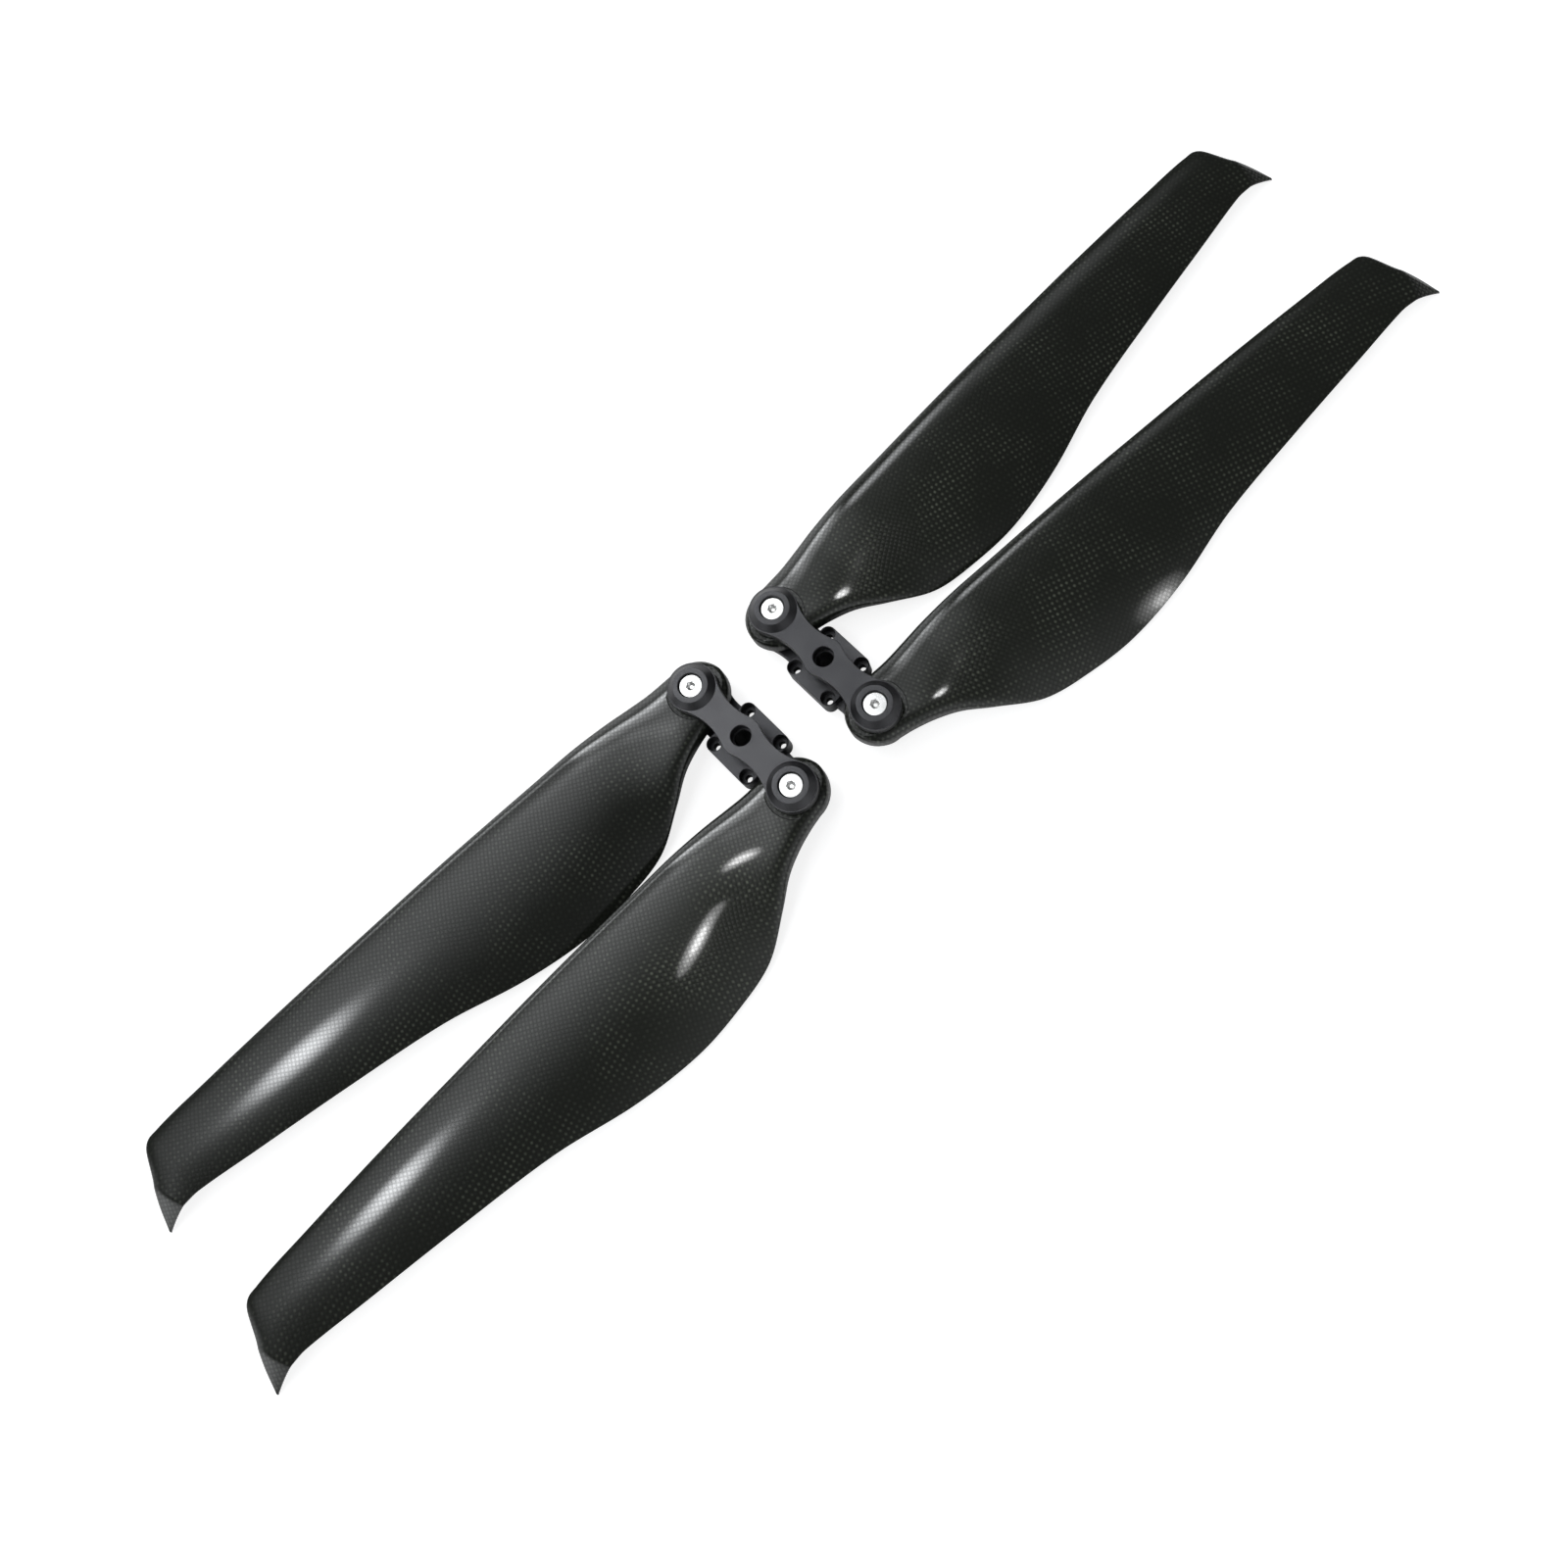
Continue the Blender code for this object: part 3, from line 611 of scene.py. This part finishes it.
for (hand, side), place in hinge_at.items():
    bush = lathe(bmesh.new(), sleeve, closed=True)
    fit(f"{hand}_{side}_sleeve", bush, place, bronze, f"{hand}_{side}_blade_set",
        f"{hand}_{side}_bush")


# Clamp plates: bone-shaped aluminium plates that close the hub from above, milled, blasted and
# anodised as the base is. A coned boss at each end is sunk for the head of the hinge screw.
PLATE_END_R = 11.4
PLATE_WAIST = 6.8
PLATE_MIDDLE_R = 9.2
PLATE_LOW = 19.8
PLATE_TOP = 25.0
PLATE_HOLE_R = 4.6
BOSS_R = 10.95
BOSS_LOW = 22.0
BOSS_TOP = 28.2
HEAD_HOLE_R = 5.5
HEAD_SEAT = 23.3

boss = [(0, BOSS_TOP), (7.8, BOSS_TOP), (8.1, BOSS_TOP - 0.08), (8.32, BOSS_TOP - 0.3),
        (BOSS_R - 0.2, PLATE_TOP + 0.12), (BOSS_R, PLATE_TOP), (BOSS_R, BOSS_LOW),
        (0, BOSS_LOW)]
middle_hole = [(0, PLATE_LOW - PAST), (PLATE_HOLE_R + CHAMFER, PLATE_LOW - PAST),
               (PLATE_HOLE_R + CHAMFER, PLATE_LOW), (PLATE_HOLE_R, PLATE_LOW + CHAMFER),
               (PLATE_HOLE_R, PLATE_TOP - CHAMFER), (PLATE_HOLE_R + 0.35, PLATE_TOP + 0.05),
               (PLATE_HOLE_R + 0.35, PLATE_TOP + PAST), (0, PLATE_TOP + PAST)]
head_hole = [(0, PLATE_LOW - PAST), (SCREW_HOLE_R, PLATE_LOW - PAST),
             (SCREW_HOLE_R, HEAD_SEAT), (HEAD_HOLE_R, HEAD_SEAT),
             (HEAD_HOLE_R, BOSS_TOP - CHAMFER), (HEAD_HOLE_R + CHAMFER, BOSS_TOP),
             (HEAD_HOLE_R + CHAMFER, BOSS_TOP + PAST), (0, BOSS_TOP + PAST)]

for hand in HANDS:
    plate = bone_block(PLATE_END_R, PLATE_WAIST, PLATE_MIDDLE_R, PLATE_LOW, PLATE_TOP)
    soften(plate, PLATE_TOP, 0.35, 2)
    soften(plate, PLATE_LOW, CHAMFER, 1)
    bosses = bmesh.new()
    for way in SIDES.values():
        lathe(bosses, boss, 0, way * HINGE_Y, steps=96)
    plate = machined(plate, bosses, "UNION")
    tools = lathe(bmesh.new(), middle_hole)
    for way in SIDES.values():
        lathe(tools, head_hole, 0, way * HINGE_Y)
    plate = machined(plate, tools, "DIFFERENCE")
    fit(hand + "_top_clamp", plate, hub_at[hand], anodised, hand + "_hub_set",
        hand + "_clamp_plate")


# Hinge screws: stainless socket screws on which the blades swing, with a turned and polished
# head, a hexagon socket for the key, and a shank that ends in the lock nut.
HEAD_R = 5.2
HEAD_LOW = 23.6
HEAD_TOP = 26.8
SHANK_R = 3.0
SCREW_END = 0.4
SOCKET_R = 2.31
SOCKET_FLOOR = 26.1
stainless = grained("stainless steel", dark=(0.74, 0.74, 0.73), light=(0.84, 0.84, 0.83),
                    smooth=0.14, rough=0.30, metallic=1.0, grit=3000.0, cloud=200.0, bump=0.06)

head_and_shank = [(0, HEAD_TOP), (HEAD_R - 0.25, HEAD_TOP), (HEAD_R - 0.1, HEAD_TOP - 0.06),
                  (HEAD_R, HEAD_TOP - 0.2), (HEAD_R, HEAD_LOW + 0.15),
                  (HEAD_R - 0.15, HEAD_LOW), (SHANK_R, HEAD_LOW),
                  (SHANK_R, SCREW_END + 0.5), (SHANK_R - 0.5, SCREW_END), (0, SCREW_END)]
drilled = [(0, 24.9), (0.8, 24.9), (1.95, 26.05), (1.95, 26.5), (0, 26.5)]

for (hand, side), place in hinge_at.items():
    screw = lathe(bmesh.new(), head_and_shank, steps=96)
    socket = bmesh.new()
    bmesh.ops.create_cone(socket, cap_ends=True, segments=6, radius1=SOCKET_R,
                          radius2=SOCKET_R, depth=PAST,
                          matrix=Matrix.Translation((0, 0, SOCKET_FLOOR + PAST / 2)))
    screw = machined(screw, socket, "DIFFERENCE")
    screw = machined(screw, lathe(bmesh.new(), drilled), "DIFFERENCE")
    fit(f"{hand}_{side}_pivot_screw", screw, place, stainless, hand + "_hub_set",
        f"{hand}_{side}_hinge_screw")


# Studio: a pale table top under the pair, a room that is bright behind and to the left, a few
# small lamps, and the camera that looks down. The table glows white to the eye and to
# reflections; painted shade, taken from ambient occlusion, darkens that glow in reflections
# under the pair and in the hubs' centre holes; from below it is clear.
TABLE_DROP = 0.0003
TABLE_HALF = 4
TABLE_GLOW = 0.82
table = bpy.data.materials.new("white table")
table.use_nodes = True
tree = table.node_tree
tree.nodes.remove(tree.nodes["Principled BSDF"])
paint = tree.nodes.new("ShaderNodeBsdfDiffuse")
paint.inputs["Color"].default_value = (0.40, 0.40, 0.40, 1)
glow = tree.nodes.new("ShaderNodeEmission")
ray = tree.nodes.new("ShaderNodeLightPath")
shade = tree.nodes.new("ShaderNodeAmbientOcclusion")
shade.samples = 4
shade.inputs["Distance"].default_value = 0.06
mirrored = reckon(tree, "MAXIMUM", ray.outputs["Is Glossy Ray"],
                  ray.outputs["Is Transmission Ray"])
# painted shade: the glow that reflections see fades where ambient occlusion finds the pair
# overhead
mirrored = reckon(tree, "MULTIPLY", mirrored,
                  between(tree, shade.outputs["AO"], 0.45, 0.95, 0.0, 1.0))
seen = reckon(tree, "MAXIMUM", ray.outputs["Is Camera Ray"], mirrored)
# painted shade: around each hub centre the table's glow is darkened where ambient occlusion is
# high, so a hub's centre hole shows dark
painted_shade_open = between(tree, shade.outputs["AO"], 0.4, 0.7, 0.0, 1.0)
on_table = tree.nodes.new("ShaderNodeTexCoord")
for place in hub_at.values():
    away = tree.nodes.new("ShaderNodeVectorMath")
    away.operation = "DISTANCE"
    away.inputs[1].default_value = place
    tree.links.new(on_table.outputs["Object"], away.inputs[0])
    outside_painted_shade_disc = between(tree, away.outputs["Value"], 0.006, 0.010, 0.0, 1.0)
    seen = reckon(tree, "MULTIPLY", seen, reckon(tree, "MAXIMUM", outside_painted_shade_disc, painted_shade_open))
tree.links.new(reckon(tree, "MULTIPLY", seen, TABLE_GLOW), glow.inputs["Strength"])
both = tree.nodes.new("ShaderNodeAddShader")
tree.links.new(paint.outputs[0], both.inputs[0])
tree.links.new(glow.outputs[0], both.inputs[1])
below = tree.nodes.new("ShaderNodeNewGeometry")
faces = tree.nodes.new("ShaderNodeMixShader")
tree.links.new(below.outputs["Backfacing"], faces.inputs[0])
tree.links.new(both.outputs[0], faces.inputs[1])
tree.links.new(tree.nodes.new("ShaderNodeBsdfTransparent").outputs[0], faces.inputs[2])
tree.links.new(faces.outputs[0], tree.nodes["Material Output"].inputs["Surface"])
sheet = bmesh.new()
bmesh.ops.create_grid(sheet, x_segments=1, y_segments=1, size=TABLE_HALF)
bmesh.ops.translate(sheet, verts=sheet.verts[:], vec=(0, 0, -TABLE_DROP))
floor_mesh = bpy.data.meshes.new("table_top")
sheet.to_mesh(floor_mesh)
sheet.free()
floor_mesh.materials.append(table)
floor = bpy.data.objects.new("table_top", floor_mesh)
collection.objects.link(floor)

world = bpy.data.worlds.new("studio")
world.use_nodes = True
tree = world.node_tree
heading = tree.nodes.new("ShaderNodeTexCoord")
light = 0.1
# each lit patch of the room: where it lies, how far its soft edge reaches, how bright it is
ROOM_PATCHES = [
    ((-0.20, 0.25, 0.945), (0.6, 0.6, 0.6), 2.2),
    ((-0.08, 0.34, 0.937), (0.17, 0.17, 0.17), 1.8),
    ((0.0, 0.95, 0.3), (0.6, 0.6, 0.6), 2.5),
    ((-0.95, 0.0, 0.3), (0.6, 0.6, 0.6), 2.0),
    ((0.0, -0.9, 0.43), (0.75, 0.75, 0.75), 1.2),
    ((0.02, 0.66, 0.75), (0.16, 0.16, 0.16), 16.0),
    ((0.05, 0.53, 0.846), (0.17, 0.17, 0.17), 4.5),
    ((0.27, 0.48, 0.835), (0.14, 0.15, 0.15), 8.5),
    ((-0.22, 0.69, 0.69), (0.28, 0.12, 0.14), 5.5),
    ((0.43, 0.42, 0.80), (0.25, 0.25, 0.25), 1.1),
    ((-0.43, 0.04, 0.90), (0.06, 0.12, 0.2), 26.0),
    ((-0.43, 0.06, 0.90), (0.12, 0.25, 0.3), 1.5),
]
for place, reach, strength in ROOM_PATCHES:
    away = heading.outputs["Generated"]
    for operation, amount in (("SUBTRACT", place), ("DIVIDE", reach), ("LENGTH", None)):
        made = tree.nodes.new("ShaderNodeVectorMath")
        made.operation = operation
        tree.links.new(away, made.inputs[0])
        if amount:
            made.inputs[1].default_value = amount
        away = made.outputs["Value" if operation == "LENGTH" else "Vector"]
    edge = add(tree, "ShaderNodeMapRange", To_Min=strength, To_Max=0.0)
    edge.interpolation_type = "SMOOTHSTEP"
    tree.links.new(away, edge.inputs["Value"])
    light = reckon(tree, "ADD", edge.outputs["Result"], light)
room = tree.nodes["Background"]
room.inputs["Color"].default_value = (0.96, 0.98, 1.0, 1)
tree.links.new(light, room.inputs["Strength"])
bpy.context.scene.world = world


# How a lamp or camera stands: its place, the way its back points and the way of its long side
def stand(place, back, long_side):
    z = back.normalized()
    x = (long_side - z * long_side.dot(z)).normalized()
    return Matrix.Translation(place) @ Matrix((x, z.cross(x), z)).transposed().to_4x4()


# lamps close by, each screened so that one piece alone mirrors it at one spot, with a dim halo;
# they go up with the hub that they stand over. Each has the piece, the spot on it, the way from
# there to the lamp and how far, its length, width and turn, the reach of its halo and its power
SMALL_LAMPS = [
    ("cw_front_blade_skin", (-0.061, -0.025, 0.019), (-0.147, -0.042, 0.988),
     0.05, 0.007, 0.0035, 21, 2.2, 0.0015),
    ("cw_front_blade_skin", (-0.0985, -0.0365, 0.015), (-0.132, -0.362, 0.923),
     0.07, 0.016, 0.005, 21, 2.4, 0.006),
    ("ccw_rear_blade_skin", (0.0500, 0.0285, 0.017), (0.342, -0.103, 0.934),
     0.10, 0.012, 0.013, -20, 1.6, 0.0105),
    ("ccw_front_blade_skin", (0.0467, -0.0358, 0.018), (0.284, -0.115, 0.952),
     0.10, 0.014, 0.008, -20, 1.4, 0.0066),
    ("ccw_front_blade_skin", (0.149, -0.075, 0.005), (0.281, -0.591, 0.756),
     0.22, 0.018, 0.014, 21, 2.8, 0.009),
    ("cw_top_clamp", (-0.0225, 0.0145, 0.025), (0.02, 0.41, 0.912),
     0.30, 0.14, 0.14, 21, 1.0, 0.042),
]
for shown_in, spot, toward, far, length, width, turn, halo, power in SMALL_LAMPS:
    long_side = Vector((math.cos(math.radians(turn)), math.sin(math.radians(turn)), 0))
    lit = bpy.data.collections.new("lit by the lamp")
    lit.objects.link(bpy.data.objects[shown_in])
    for spread in (1.0, (1.0 + halo) / 2, halo):
        bulb = bpy.data.lights.new("small lamp", "AREA")
        bulb.shape = "ELLIPSE"
        bulb.size = length * spread
        bulb.size_y = width * spread
        bulb.energy = power
        lamp = bpy.data.objects.new("small lamp", bulb)
        lamp.matrix_world = stand(Vector(spot) + Vector(toward) * far, Vector(toward),
                                  long_side)
        lamp.light_linking.receiver_collection = lit
        lamp.visible_camera = False
        collection.objects.link(lamp)
        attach(lamp, shown_in.split("_")[0] + "_hub_set")

lens = bpy.data.cameras.new("camera")
lens.lens = 28.6065
lens.sensor_width = 36.0
lens.shift_x = -0.0082
lens.shift_y = -0.0959
eye = Vector((-0.03362, -0.15984, 0.54183))
aim = Vector((0.02711, 0.03443, 0.003125))
back = (eye - aim).normalized()
right = Vector(up).cross(back).normalized()
over = back.cross(right)
roll = math.radians(-28.62)
across = right * math.cos(roll) + over * math.sin(roll)
camera = bpy.data.objects.new("camera", lens)
camera.matrix_world = stand(eye, back, across)
collection.objects.link(camera)
bpy.context.scene.camera = camera
bpy.context.scene.view_settings.view_transform = "Standard"
